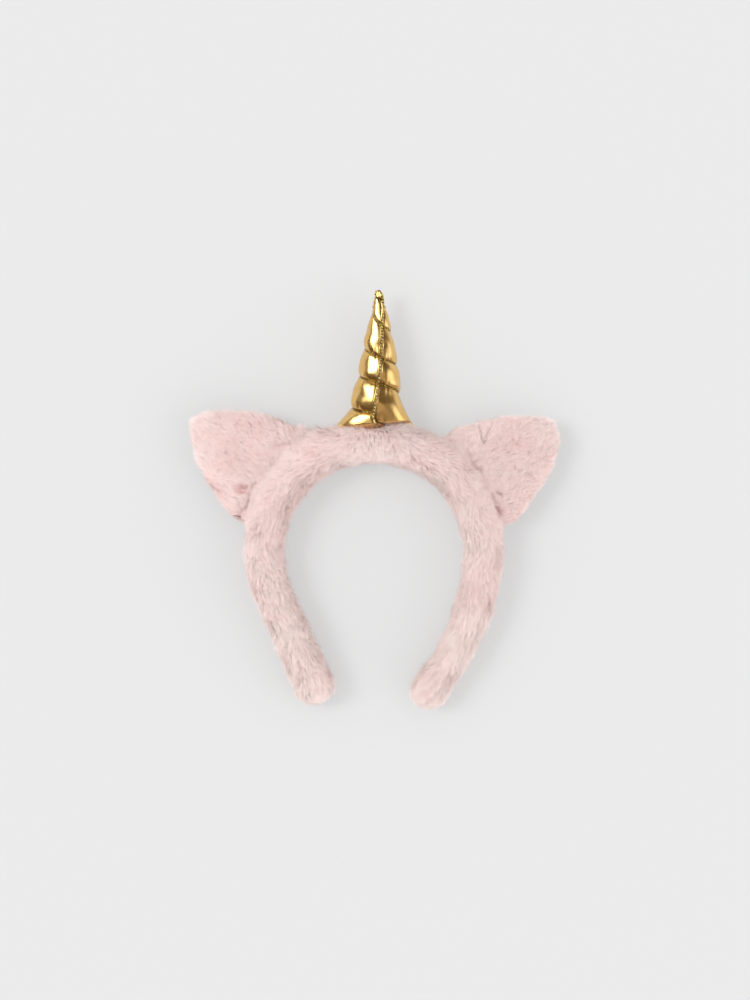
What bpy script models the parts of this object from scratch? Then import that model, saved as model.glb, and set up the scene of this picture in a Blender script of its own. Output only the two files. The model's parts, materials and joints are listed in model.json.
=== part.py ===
"""A unicorn horn headband: a fur-covered band, two plush ears and a stuffed gold horn.

Metres, +Z up. The headband lies on its back edge as on a table, so the band's plane is level, the front of
the ears and horn faces +Z, and the horn points to +Y. The origin is under the middle of the whole object,
on the surface that it rests on.

Each soft piece is a ball primitive whose rings are wrapped to the piece: rings across the band along its
centreline, rings across the horn along its axis, and rings from front to back of each ear.
"""

from collections import namedtuple
from math import acos, atan2, cos, exp, floor, pi, radians, sin, sqrt

import bmesh
import bpy
from mathutils import Vector, noise

# Band. Its centreline is level. From the top of the crown each side runs on through these stretches.
CROWN_RADIUS = 0.0712
CROWN_CENTRE = Vector((0.0006, -0.0341, 0.0))
RIGHT_ARM_RADIUS = 0.150
RIGHT_TIP_RADIUS = 0.100
LEFT_ARM_LENGTH = 0.0768

Stretch = namedtuple("Stretch", "length turn")  # turn in radians, inwards


def arc(radius, degrees):
    """A round stretch of that radius and inward turn."""
    return Stretch(radius * abs(radians(degrees)), radians(degrees))


LEFT_SIDE = (arc(CROWN_RADIUS, 114), Stretch(LEFT_ARM_LENGTH, 0.0))
RIGHT_SIDE = (arc(CROWN_RADIUS, 95), arc(RIGHT_ARM_RADIUS, 31.5), arc(RIGHT_TIP_RADIUS, -13))
LEFT_LENGTH = sum(stretch.length for stretch in LEFT_SIDE)
RIGHT_LENGTH = sum(stretch.length for stretch in RIGHT_SIDE)

# Cross-sections of the band: share of its side's length from the crown (left is minus), thickness in the
# band's plane, and depth from back to front.
Section = namedtuple("Section", "share thickness depth")
SECTIONS = (
    Section(-1.00, 0.0262, 0.0270),
    Section(-0.93, 0.0268, 0.0290),
    Section(-0.75, 0.0250, 0.0305),
    Section(-0.50, 0.0252, 0.0320),
    Section(-0.25, 0.0276, 0.0340),
    Section(0.00, 0.0280, 0.0345),
    Section(0.25, 0.0278, 0.0340),
    Section(0.50, 0.0258, 0.0320),
    Section(0.75, 0.0238, 0.0300),
    Section(0.88, 0.0226, 0.0280),
    Section(0.96, 0.0256, 0.0280),
    Section(1.00, 0.0256, 0.0265),
)
SECTION_SQUARENESS = 2.25  # 2 is an oval; more is squarer
TIP_ROUNDING = 0.0125
PRESSED_FLAT = 0.0018  # how far the resting side is pressed in by the surface below
SEAT_GAP = 0.0004
BAND_RINGS, BAND_SIDES = 118, 24
RINGS_TO_TIPS = 0.45  # how much closer the rings lie at the tips

# Locks of fur: each rises along the nap to its tip, ends in a step there, and is highest along its middle.
Locks = namedtuple("Locks", "length width rise lumps")
BAND_LOCK_ROWS = 8  # round the band
BAND_LOCKS = Locks(length=0.0135, width=0.0122, rise=0.0022, lumps=0.0010)
EAR_LOCKS = Locks(length=0.0135, width=0.0115, rise=0.0020, lumps=0.0010)
LOCK_POINT = 0.25  # how far a lock's middle runs on past its sides, as a share of its length
LOCK_UNEVENNESS = 0.5
LUMP_SIZE = 0.021

# Ears. Each stands out from the band's outer edge, along a ray from the crown's centre.
EAR_ROOT_REACH = 0.0760  # from the crown's centre: inside the band, where the ear is cut to its seat
EAR_HALF_WIDTH = 0.0372
EAR_THICKNESS_ROOT = 0.0250
EAR_THICKNESS_TIP = 0.0170
EAR_MID_HEIGHT = 0.0158
EAR_DISH_DEPTH = 0.0034  # the hollow of its front, near the root
EAR_DISH_RADIUS = 0.0170
EAR_DISH_REACH = 0.1000  # of the hollow's middle, from the crown's centre
EAR_MIDDLE_SHARE = 0.46  # of the ear's length, where its front and back are highest
EAR_FULLNESS = 0.88  # of the rings' way out to the edge: less is fuller
EAR_SIDE_SHARE = 0.74  # of the half outline that is the ear's side; the rest is its root
EAR_SIDE_BULGE = 1.6  # how rounded the sides are on their way to the root
EAR_POINTS_TO_TIP = 1.35  # how much closer the edge's points lie at the tip
EAR_SIDES, EAR_RINGS = 30, 20
Ear = namedtuple("Ear", "name hand rise tip_reach sharpness")  # rise: its ray's angle over the level
EARS = (
    Ear("ear_left", -1, radians(35.5), 0.1466, 0.68),
    Ear("ear_right", 1, radians(34.2), 0.1446, 0.62),
)

# Horn: rows from its foot to its tip, each a height above the foot, how far its middle is off the
# object's own middle, and its half width and half depth over the puffs.
HornRow = namedtuple("HornRow", "height offset half_width half_depth")
HORN_ROWS = (
    HornRow(-0.0100, 0.0002, 0.0230, 0.0150),
    HornRow(0.0000, 0.0006, 0.0238, 0.0152),
    HornRow(0.0059, 0.0010, 0.0211, 0.0156),
    HornRow(0.0111, 0.0022, 0.0184, 0.0154),
    HornRow(0.0189, 0.0024, 0.0165, 0.0148),
    HornRow(0.0286, 0.0031, 0.0148, 0.0138),
    HornRow(0.0403, 0.0038, 0.0126, 0.0120),
    HornRow(0.0501, 0.0038, 0.0108, 0.0104),
    HornRow(0.0579, 0.0039, 0.0094, 0.0090),
    HornRow(0.0663, 0.0039, 0.0075, 0.0073),
    HornRow(0.0741, 0.0044, 0.0058, 0.0057),
    HornRow(0.0806, 0.0038, 0.0041, 0.0041),
    HornRow(0.0860, 0.0036, 0.0029, 0.0029),
    HornRow(0.0893, 0.0035, 0.0010, 0.0010),
)
HORN_FOOT = Vector((0.0, 0.0461, 0.0164))
# The sewn spiral: heights of its turns above the foot at the left, front and right of the horn.
Turn = namedtuple("Turn", "left front right")
SPIRAL = (
    Turn(0.0960, 0.0940, 0.0920),
    Turn(0.0845, 0.0812, 0.0776),
    Turn(0.0743, 0.0655, 0.0604),
    Turn(0.0511, 0.0455, 0.0398),
    Turn(0.0335, 0.0278, 0.0219),
    Turn(0.0133, 0.0086, -0.0040),
    Turn(-0.0070, -0.0130, -0.0190),
)
PUFF = 0.17  # how far a seam draws the horn in, as a share of its radius
FRONT_SEAM_DRAW = 0.09
FRONT_SEAM_WIDTH = 0.0016
HORN_RINGS, HORN_SIDES = 46, 24

PINK_FUR = (0.83, 0.62, 0.60, 1.0)
GOLD_CLOTH = (0.68, 0.42, 0.10, 1.0)


def clear_scene():
    """Removes what the file holds at the start."""
    for found in list(bpy.data.objects):
        bpy.data.objects.remove(found, do_unlink=True)


def collection(name):
    """A new collection in the scene."""
    made = bpy.data.collections.new(name)
    bpy.context.scene.collection.children.link(made)
    return made


def material(name, colour, roughness, metallic):
    """A plain Principled material."""
    made = bpy.data.materials.new(name)
    made.use_nodes = True
    shader = made.node_tree.nodes["Principled BSDF"]
    shader.inputs["Base Color"].default_value = colour
    shader.inputs["Roughness"].default_value = roughness
    shader.inputs["Metallic"].default_value = metallic
    return made


def eased(share):
    """A share from 0 to 1 with soft ends."""
    return share * share * (3.0 - 2.0 * share)


def between_rows(rows, column, value):
    """The rows' other columns where the named column has this value, eased from row to row."""
    keys = [getattr(row, column) for row in rows]
    value = min(max(value, keys[0]), keys[-1])
    for low, high in zip(rows, rows[1:]):
        start, end = getattr(low, column), getattr(high, column)
        if value <= end:
            share = (value - start) / (end - start)
            return low._replace(**{
                name: (1.0 - share) * getattr(low, name) + share * getattr(high, name) for name in low._fields
            })
    return rows[-1]


def wrapped_ball(name, sides, rings, place, look):
    """A ball primitive whose points are moved by place(share from pole to pole, angle round the pole axis)."""
    form = bmesh.new()
    bmesh.ops.create_uvsphere(form, u_segments=sides, v_segments=rings, radius=1.0)
    bmesh.ops.triangulate(form, faces=form.faces, quad_method="FIXED")
    for vertex in form.verts:
        share = acos(min(max(vertex.co.z, -1.0), 1.0)) / pi
        vertex.co = place(share, atan2(vertex.co.y, vertex.co.x))
    if form.calc_volume(signed=True) < 0:
        bmesh.ops.reverse_faces(form, faces=form.faces)
    mesh = bpy.data.meshes.new(name)
    form.to_mesh(mesh)
    form.free()
    mesh.shade_smooth()
    mesh.materials.append(look)
    return bpy.data.objects.new(name, mesh)


def rounded(angle, squareness):
    """Cosine and sine of an angle on an oval that is squarer than a circle."""
    power = 2.0 / squareness
    across, up = cos(angle), sin(angle)
    return abs(across) ** power * (1 if across >= 0 else -1), abs(up) ** power * (1 if up >= 0 else -1)


def lock_relief(locks, along, across):
    """How far the locks stand out from the skin's own line, this far along the nap and across it."""
    row = floor(across / locks.width + 1e-6)
    ridge = sin(pi * (across / locks.width - row))
    stagger = 0.5 * (row % 2) + LOCK_UNEVENNESS * noise.noise(Vector((along / LUMP_SIZE, row * 1.7, 0.3)))
    climb = (along / locks.length + stagger - LOCK_POINT * (1.0 - ridge)) % 1.0
    lumps = noise.noise(Vector((along, across, 0.0)) / LUMP_SIZE)
    return locks.rise * (climb - 0.5) * (0.5 + 0.5 * ridge) + locks.lumps * lumps


def along_side(stretches, distance):
    """Point and heading after this distance from the crown's top, on a side that turns clockwise."""
    point, heading = Vector((0.0, CROWN_RADIUS, 0.0)), 0.0
    for stretch in stretches:
        step = min(distance, stretch.length)
        turn = stretch.turn * step / stretch.length
        middle = heading - turn / 2
        chord = step if turn == 0 else step * sin(turn / 2) / (turn / 2)
        point = point + Vector((cos(middle), sin(middle), 0.0)) * chord
        heading -= turn
        distance -= step
        if distance <= 0:
            break
    return point, heading


def band_station(share):
    """Centre, outward direction in the band's plane, and heading at this share from left tip to right tip."""
    distance = share * (LEFT_LENGTH + RIGHT_LENGTH) - LEFT_LENGTH
    if distance >= 0:
        point, heading = along_side(RIGHT_SIDE, distance)
        hand = 1
    else:
        point, heading = along_side(LEFT_SIDE, -distance)
        hand = -1
    centre = CROWN_CENTRE + Vector((hand * point.x, point.y, 0.0))
    outward = Vector((-hand * sin(heading), cos(heading), 0.0))
    return centre, outward, distance


def band_place(grown):
    """Places a ball's points on the band, which is grown by this much all round."""

    def place(share, angle):
        share -= RINGS_TO_TIPS * sin(2 * pi * share) / (2 * pi)
        centre, outward, distance = band_station(share)
        side_length = RIGHT_LENGTH if distance >= 0 else LEFT_LENGTH
        section = between_rows(SECTIONS, "share", distance / side_length)
        to_tip = side_length - abs(distance)
        closing = sqrt(max(0.0, 1.0 - (1.0 - min(1.0, to_tip / TIP_ROUNDING)) ** 2))
        across, up = rounded(angle, SECTION_SQUARENESS)
        girth = angle / (2 * pi) * BAND_LOCK_ROWS * BAND_LOCKS.width
        relief = lock_relief(BAND_LOCKS, abs(distance), girth) * closing + grown
        half_thickness = section.thickness / 2 * closing + relief
        half_depth = section.depth / 2 * closing + relief
        middle = section.depth / 2 - PRESSED_FLAT
        height = middle + half_depth * up
        point = centre + outward * (half_thickness * across)
        past_tip = grown if to_tip < TIP_ROUNDING else 0.0
        forward = Vector((outward.y, -outward.x, 0.0)) * (1 if distance >= 0 else -1)
        point += forward * past_tip * (1.0 - closing)
        point.z = height if grown else max(height, 0.0)
        return point

    return place


def ear_edge(ear, angle):
    """Reach and sideways place of an ear's edge: 0 is the tip, a half turn is the middle of the root."""
    turn = abs(angle) / pi
    hand = 1 if angle >= 0 else -1
    if turn <= EAR_SIDE_SHARE:
        share = (turn / EAR_SIDE_SHARE) ** EAR_POINTS_TO_TIP  # of the ear's length from tip to root
        half_width = EAR_HALF_WIDTH * (1.0 - (1.0 - share) ** EAR_SIDE_BULGE) ** ear.sharpness
        return Vector((ear.tip_reach - share * (ear.tip_reach - EAR_ROOT_REACH), hand * half_width))
    across = 1.0 - (turn - EAR_SIDE_SHARE) / (1.0 - EAR_SIDE_SHARE)
    return Vector((EAR_ROOT_REACH, hand * EAR_HALF_WIDTH * across))


def ear_place(ear):
    """Places a ball's points on an ear, front pole first."""
    length = ear.tip_reach - EAR_ROOT_REACH
    middle = Vector((EAR_ROOT_REACH + EAR_MIDDLE_SHARE * length, 0.0))
    dish = Vector((EAR_DISH_REACH, 0.0))
    ray = Vector((ear.hand * cos(ear.rise), sin(ear.rise), 0.0))
    side = Vector((-ear.hand * sin(ear.rise), cos(ear.rise), 0.0))

    def place(share, angle):
        out = sin(pi * share) ** EAR_FULLNESS
        up = cos(pi * share)
        edge = ear_edge(ear, angle)
        flat = middle.lerp(edge, out)
        tipward = eased((flat.x - EAR_ROOT_REACH) / length)
        thickness = (1.0 - tipward) * EAR_THICKNESS_ROOT + tipward * EAR_THICKNESS_TIP
        shown = 0.3 + 0.7 * out * out  # the locks are lower at the middle, where the ball's points crowd
        height = EAR_MID_HEIGHT + up * (thickness / 2 + shown * lock_relief(EAR_LOCKS, flat.x, flat.y))
        if up > 0:
            height -= EAR_DISH_DEPTH * up * exp(-(((flat - dish).length / EAR_DISH_RADIUS) ** 2))
        fringe = lock_relief(EAR_LOCKS, angle * EAR_HALF_WIDTH, height) * out**4
        flat += (edge - middle).normalized() * fringe
        point = CROWN_CENTRE + ray * flat.x + side * flat.y
        point.z = height
        return point

    return place


def spiral_height(turn, next_turn, angle):
    """Height of a turn of the spiral at an angle round the horn: 0 is the front, plus is to the right."""
    back_after = (turn.right + next_turn.left) / 2
    back_before = turn.left + (turn.right - next_turn.left) / 2
    corners = (back_before, turn.left, turn.front, turn.right, back_after)
    step = (angle + pi) / (pi / 2)
    index = min(int(step), 3)
    share = step - index
    return corners[index] + (corners[index + 1] - corners[index]) * share


def puff(height, angle):
    """Share of the horn's radius at a height and angle: 1 at the top of a puff, less at a seam."""
    seams = [spiral_height(turn, below, angle) for turn, below in zip(SPIRAL, SPIRAL[1:])]
    for upper, lower in zip(seams, seams[1:]):
        if lower <= height <= upper:
            across = 2 * (height - lower) / (upper - lower) - 1
            return 1.0 - PUFF + PUFF * sqrt(max(0.0, 1.0 - across * across))
    return 1.0


def horn_place(share, angle):
    """Places a ball's points on the horn, tip first."""
    top, foot = HORN_ROWS[-1].height, HORN_ROWS[0].height
    height = top + (foot - top) * share
    row = between_rows(HORN_ROWS, "height", height)
    if share in (0.0, 1.0):
        return HORN_FOOT + Vector((row.offset, height, 0.0))
    across = angle * row.half_width / FRONT_SEAM_WIDTH  # from the front seam, in its widths
    drawn = puff(height, angle) * (1.0 - FRONT_SEAM_DRAW * exp(-across * across))
    return HORN_FOOT + Vector((
        row.offset + row.half_width * drawn * sin(angle),
        height,
        row.half_depth * drawn * cos(angle),
    ))


def fitted_to_band(piece, band_seat):
    """Cuts a piece to the seat that the band leaves it."""
    cut = piece.modifiers.new("seat", "BOOLEAN")
    cut.operation = "DIFFERENCE"
    cut.solver = "EXACT"
    cut.object = band_seat


def centre_on_origin(pieces, helpers):
    """Moves everything so that the origin is under the middle of the pieces, at their lowest point."""
    bpy.context.view_layer.update()
    graph = bpy.context.evaluated_depsgraph_get()
    corners = [
        piece.matrix_world @ Vector(corner) for piece in pieces for corner in piece.evaluated_get(graph).bound_box
    ]
    low = [min(corner[i] for corner in corners) for i in range(3)]
    high = [max(corner[i] for corner in corners) for i in range(3)]
    shift = Vector(((low[0] + high[0]) / -2, (low[1] + high[1]) / -2, -low[2]))
    for moved in (*pieces, *helpers):
        moved.location += shift


def main():
    """Builds the headband."""
    clear_scene()
    parts = collection("unicorn_headband")
    cutters = collection("cutters")
    fur = material("pink_fur", PINK_FUR, 0.9, 0.0)
    gold = material("gold_cloth", GOLD_CLOTH, 0.3, 1.0)

    band = wrapped_ball("band", BAND_SIDES, BAND_RINGS, band_place(0.0), fur)
    band_seat = wrapped_ball("band_seat", BAND_SIDES, BAND_RINGS, band_place(SEAT_GAP), fur)
    band_seat.hide_render = True
    band_seat.display_type = "WIRE"
    cutters.objects.link(band_seat)

    pieces = [band]
    for ear in EARS:
        pieces.append(wrapped_ball(ear.name, EAR_SIDES, EAR_RINGS, ear_place(ear), fur))
    pieces.append(wrapped_ball("horn", HORN_SIDES, HORN_RINGS, horn_place, gold))
    for piece in pieces:
        parts.objects.link(piece)
    for piece in pieces[1:]:
        fitted_to_band(piece, band_seat)
    centre_on_origin(pieces, [band_seat])


main()
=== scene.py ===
"""Looks of the unicorn horn headband: plush pile, stuffed gold horn, stitches, and the studio round them.

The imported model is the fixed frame. The pile grows on a backing taken from the frame's own band and ears,
and the horn is a finer one in the place of the frame's. All lengths are in metres.
"""

from __future__ import annotations

import json
import logging
import math
from dataclasses import dataclass, field

import bpy
import numpy as np
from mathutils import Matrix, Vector
from mathutils.bvhtree import BVHTree
from mathutils.kdtree import KDTree

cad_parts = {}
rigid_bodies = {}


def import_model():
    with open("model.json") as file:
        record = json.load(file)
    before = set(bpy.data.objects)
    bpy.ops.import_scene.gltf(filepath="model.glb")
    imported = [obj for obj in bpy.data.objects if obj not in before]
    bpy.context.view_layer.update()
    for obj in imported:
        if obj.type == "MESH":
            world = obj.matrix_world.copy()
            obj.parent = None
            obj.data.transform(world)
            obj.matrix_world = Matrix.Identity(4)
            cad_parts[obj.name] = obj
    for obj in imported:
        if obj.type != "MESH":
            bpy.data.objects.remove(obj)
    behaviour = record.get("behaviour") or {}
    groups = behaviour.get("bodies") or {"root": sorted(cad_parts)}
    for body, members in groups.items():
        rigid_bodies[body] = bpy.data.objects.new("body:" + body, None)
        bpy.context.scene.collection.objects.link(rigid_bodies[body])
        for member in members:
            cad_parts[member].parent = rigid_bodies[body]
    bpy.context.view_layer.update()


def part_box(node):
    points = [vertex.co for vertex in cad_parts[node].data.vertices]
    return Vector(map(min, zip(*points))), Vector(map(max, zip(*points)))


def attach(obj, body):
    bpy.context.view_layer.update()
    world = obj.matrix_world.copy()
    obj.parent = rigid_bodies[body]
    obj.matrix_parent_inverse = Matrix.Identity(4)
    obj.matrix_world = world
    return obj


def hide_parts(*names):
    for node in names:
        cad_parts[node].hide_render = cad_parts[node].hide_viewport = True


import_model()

MM = 0.001
BODY = "root"
HAIR_MAP = "OFBake"  # the hairs' own map, which the colours are read from
log = logging.getLogger("headband")


# Helpers for arrays and objects


def unit(vectors: np.ndarray) -> np.ndarray:
    """Returns the vectors of an array at length 1."""
    return vectors / np.maximum(np.linalg.norm(vectors, axis=-1, keepdims=True), 1e-12)


def dot(one: np.ndarray, other: np.ndarray) -> np.ndarray:
    """Returns the dot product of each row, as a column."""
    return np.sum(one * other, axis=-1, keepdims=True)


def bell(distance: np.ndarray, width: float) -> np.ndarray:
    """Returns 1 at no distance, falling smoothly to nothing past the width."""
    return np.exp(-((distance / width) ** 2))


def soft_share(value: np.ndarray) -> np.ndarray:
    """Returns the value held between 0 and 1, with soft ends."""
    share = np.clip(value, 0, 1)
    return share * share * (3 - 2 * share)


class SoftNoise:
    """A smooth wavy field made of seeded plane waves, between about -1 and 1."""

    def __init__(self, size: float, seed: int, waves: int = 14) -> None:
        """Draws the waves.

        Args:
            size: Length of the lumps.
            seed: Which field to draw.
            waves: How many plane waves to add up.
        """
        chance = np.random.default_rng(seed)
        lengths = size * chance.uniform(0.7, 1.5, (waves, 1))
        self.waves = unit(chance.normal(size=(waves, 3))) * 2 * math.pi / lengths
        self.phases = chance.uniform(0, 2 * math.pi, waves)

    def at(self, points: np.ndarray) -> np.ndarray:
        """Returns the field at each point."""
        return np.sin(points @ self.waves.T + self.phases).sum(axis=-1) / math.sqrt(len(self.phases))


def deselect_all() -> None:
    """Leaves object mode with nothing selected."""
    if bpy.context.object and bpy.context.object.mode != "OBJECT":
        bpy.ops.object.mode_set(mode="OBJECT")
    bpy.ops.object.select_all(action="DESELECT")


def choose(piece: bpy.types.Object) -> None:
    """Selects one object and makes it active."""
    deselect_all()
    piece.select_set(True)
    bpy.context.view_layer.objects.active = piece


def apply_modifiers(piece: bpy.types.Object) -> None:
    """Applies all of a piece's modifiers in order."""
    choose(piece)
    for modifier in list(piece.modifiers):
        bpy.ops.object.modifier_apply(modifier=modifier.name)


def points_of(piece: bpy.types.Object) -> np.ndarray:
    """Returns a mesh piece's points, one row each."""
    places = np.empty(len(piece.data.vertices) * 3, dtype=np.float64)
    piece.data.vertices.foreach_get("co", places)
    return places.reshape(-1, 3)


def move_points(piece: bpy.types.Object, places: np.ndarray) -> None:
    """Moves a mesh piece's points to these rows."""
    piece.data.vertices.foreach_set("co", places.astype(np.float32).ravel())
    piece.data.update()


def tree_of(piece: bpy.types.Object) -> BVHTree:
    """Returns a search tree over a mesh piece's faces."""
    places = points_of(piece)
    faces = [tuple(face.vertices) for face in piece.data.polygons]
    return BVHTree.FromPolygons([Vector(place) for place in places], faces)


def distances(tree: BVHTree, places: np.ndarray) -> np.ndarray:
    """Returns how far each place is from the nearest face."""
    return np.array([tree.find_nearest(Vector(place))[3] for place in places])


def depth_inside(tree: BVHTree, places: np.ndarray, reach: float = 12 * MM) -> np.ndarray:
    """Returns how deep each place lies inside a closed surface: 0 outside it.

    Args:
        tree: Search tree over the closed surface, with its faces pointing out.
        places: One row for each place.
        reach: Places farther than this from the surface count as outside.

    Returns:
        One depth for each place.
    """
    depths = np.zeros(len(places))
    for index, place in enumerate(places):
        spot, normal, _, distance = tree.find_nearest(Vector(place), reach)
        if spot is not None and (Vector(place) - spot).dot(normal) < 0:
            depths[index] = distance
    return depths


# Finishes


class Nodes:
    """Short ways to add shader nodes to one material."""

    def __init__(self, name: str) -> None:
        """Makes the material and keeps its Principled shader."""
        self.material = bpy.data.materials.new(name)
        self.material.use_nodes = True
        self.tree = self.material.node_tree
        self.shader = self.tree.nodes["Principled BSDF"]
        self.output = self.tree.nodes["Material Output"]
        self.place = self.add("ShaderNodeTexCoord").outputs["Object"]

    def add(self, kind: str, **settings: object) -> bpy.types.Node:
        """Adds a node of a kind with its settings."""
        node = self.tree.nodes.new(kind)
        for name, value in settings.items():
            setattr(node, name, value)
        return node

    def link(self, source: bpy.types.NodeSocket, target: bpy.types.NodeSocket) -> None:
        """Joins two sockets."""
        self.tree.links.new(source, target)

    def noise(self, scale: float, detail: float = 2.0, roughness: float = 0.5) -> bpy.types.NodeSocket:
        """Adds a noise over the piece's own coordinates and returns its value.

        Args:
            scale: Lumps to a metre.
            detail: Finer layers.
            roughness: How strong the finer layers are.

        Returns:
            The socket of the noise's value.
        """
        node = self.add("ShaderNodeTexNoise")
        node.inputs["Scale"].default_value = scale
        node.inputs["Detail"].default_value = detail
        node.inputs["Roughness"].default_value = roughness
        self.link(self.place, node.inputs["Vector"])
        return node.outputs["Fac"]

    def ramp(self, value: bpy.types.NodeSocket, stops: dict[float, tuple]) -> bpy.types.NodeSocket:
        """Adds a colour ramp over a value and returns its colour.

        Args:
            value: The socket that drives it.
            stops: Colours by place.

        Returns:
            The socket of the ramp's colour.
        """
        node = self.add("ShaderNodeValToRGB")
        places = sorted(stops)
        node.color_ramp.elements[0].position = places[0]
        node.color_ramp.elements[1].position = places[-1]
        for place in places[1:-1]:
            node.color_ramp.elements.new(place)
        for element, place in zip(node.color_ramp.elements, places):
            element.color = (*stops[place], 1.0)
        self.link(value, node.inputs["Fac"])
        return node.outputs["Color"]

    def mix(
        self,
        share: bpy.types.NodeSocket | float,
        first: bpy.types.NodeSocket | tuple,
        second: bpy.types.NodeSocket | tuple,
        blend: str = "MIX",
    ) -> bpy.types.NodeSocket:
        """Adds a colour mix and returns its colour.

        Args:
            share: How much of the second colour shows.
            first: A colour or a socket.
            second: A colour or a socket.
            blend: How they are combined.

        Returns:
            The socket of the mixed colour.
        """
        node = self.add("ShaderNodeMix", data_type="RGBA", blend_type=blend)
        share_socket, first_socket, second_socket = node.inputs[0], node.inputs[6], node.inputs[7]
        for socket, given in ((share_socket, share), (first_socket, first), (second_socket, second)):
            if isinstance(given, bpy.types.NodeSocket):
                self.link(given, socket)
            else:
                socket.default_value = (*given, 1.0) if isinstance(given, tuple) else given
        return node.outputs[2]

    def math(self, operation: str, first: object, second: object = 0.0) -> bpy.types.NodeSocket:
        """Adds a sum and returns its value.

        Args:
            operation: The kind of sum.
            first: A number or a socket.
            second: A number or a socket.

        Returns:
            The socket of the result.
        """
        node = self.add("ShaderNodeMath", operation=operation)
        for socket, given in zip(node.inputs, (first, second)):
            if isinstance(given, bpy.types.NodeSocket):
                self.link(given, socket)
            else:
                socket.default_value = given
        return node.outputs[0]

    def bump(self, height: bpy.types.NodeSocket, depth: float, strength: float) -> None:
        """Gives the shader a bump.

        Args:
            height: The socket of the height, from 0 to 1.
            depth: Height of the relief.
            strength: How much of it shows.
        """
        node = self.add("ShaderNodeBump")
        node.inputs["Strength"].default_value = strength
        node.inputs["Distance"].default_value = depth
        self.link(height, node.inputs["Height"])
        self.link(node.outputs["Normal"], self.shader.inputs["Normal"])

    def set(self, **values: float) -> None:
        """Sets the shader's own sockets, with spaces in their names written as _."""
        for name, value in values.items():
            self.shader.inputs[name.replace("_", " ")].default_value = value


@dataclass(frozen=True)
class PlushPile:
    """The pale pink hairs, with painted shade that makes them darker at their roots and in the hollows.

    Each hair lies on the piece's map at its own shade: across from deep to pale, and up from root to tip.
    """

    deep: tuple = (0.86, 0.60, 0.60)
    pink: tuple = (0.95, 0.795, 0.765)
    pale: tuple = (0.96, 0.85, 0.825)
    peach: tuple = (0.965, 0.875, 0.83)
    # darker towards the roots: painted shade among the hairs
    root_painted_shade: tuple = (0.93, 0.88, 0.87)
    glow: float = 0.42  # share of the light that comes through the hairs

    def material(self) -> bpy.types.Material:
        """Returns the material."""
        nodes = Nodes("pink_pile")
        place = nodes.add("ShaderNodeUVMap", uv_map=HAIR_MAP)
        parts = nodes.add("ShaderNodeSeparateXYZ")
        nodes.link(place.outputs[0], parts.inputs[0])
        # a hair comes near the deep end mostly through the painted shade of the partings and hollows
        shades = {0.02: self.deep, 0.36: self.pink, 0.62: self.pale, 0.96: self.peach}
        shade = nodes.ramp(parts.outputs["X"], shades)
        # the roots darker than the tips: painted shade
        along = nodes.ramp(parts.outputs["Y"], {0.05: self.root_painted_shade, 0.62: (1.0, 1.0, 1.0)})
        colour = nodes.mix(1.0, shade, along, "MULTIPLY")
        nodes.link(colour, nodes.shader.inputs["Base Color"])
        nodes.set(Roughness=0.78, Sheen_Weight=0.2, Sheen_Roughness=0.5, Specular_IOR_Level=0.12)
        through = nodes.add("ShaderNodeBsdfTranslucent")
        nodes.link(colour, through.inputs["Color"])
        both = nodes.add("ShaderNodeMixShader")
        both.inputs[0].default_value = self.glow
        nodes.link(nodes.shader.outputs[0], both.inputs[1])
        nodes.link(through.outputs[0], both.inputs[2])
        nodes.link(both.outputs[0], nodes.output.inputs["Surface"])
        return nodes.material


@dataclass(frozen=True)
class PlushBacking:
    """The knitted backing that the hairs grow on, seen only in the partings."""

    light: tuple = (0.92, 0.78, 0.76)
    deep: tuple = (0.84, 0.64, 0.63)

    def material(self) -> bpy.types.Material:
        """Returns the material."""
        nodes = Nodes("pink_backing")
        colour = nodes.ramp(nodes.noise(260.0, 3.0), {0.35: self.deep, 0.65: self.light})
        nodes.link(colour, nodes.shader.inputs["Base Color"])
        nodes.bump(nodes.noise(1400.0, 2.0), 0.3 * MM, 0.5)
        nodes.set(Roughness=0.9, Specular_IOR_Level=0.1)
        return nodes.material


@dataclass(frozen=True)
class GoldFoilCloth:
    """Smooth cloth with a gold foil face, finely crinkled, darkened at its seams: partly the seams' own dark
    line, partly painted shade in their grooves, under the front cord and in the tip's dimple.
    """

    light: tuple = (0.87, 0.59, 0.23)
    deep: tuple = (0.80, 0.49, 0.15)
    # the dark at the seams: their own line, with painted shade in the grooves, under the cord and in the dimple
    seam: tuple = (0.035, 0.026, 0.006)

    def material(self) -> bpy.types.Material:
        """Returns the material."""
        nodes = Nodes("gold_foil")
        colour = nodes.ramp(nodes.noise(120.0, 4.0, 0.6), {0.30: self.deep, 0.68: self.light})
        # the seams' own darkness together with the painted shade by the cord and in the dimple
        seam = nodes.add("ShaderNodeAttribute", attribute_name="seam").outputs["Fac"]
        colour = nodes.mix(seam, colour, self.seam)
        nodes.link(colour, nodes.shader.inputs["Base Color"])
        rough = nodes.add("ShaderNodeMapRange")
        nodes.link(nodes.noise(300.0, 3.0), rough.inputs["Value"])
        rough.inputs["To Min"].default_value = 0.20
        rough.inputs["To Max"].default_value = 0.30
        nodes.link(rough.outputs[0], nodes.shader.inputs["Roughness"])
        crinkle = nodes.math("MULTIPLY", nodes.noise(420.0, 3.0, 0.5), 0.7)
        weave = nodes.math("MULTIPLY", nodes.noise(2600.0, 1.0), 0.3)
        nodes.bump(nodes.math("ADD", crinkle, weave), 0.22 * MM, 0.22)
        nodes.set(Metallic=1.0)
        return nodes.material


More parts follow.
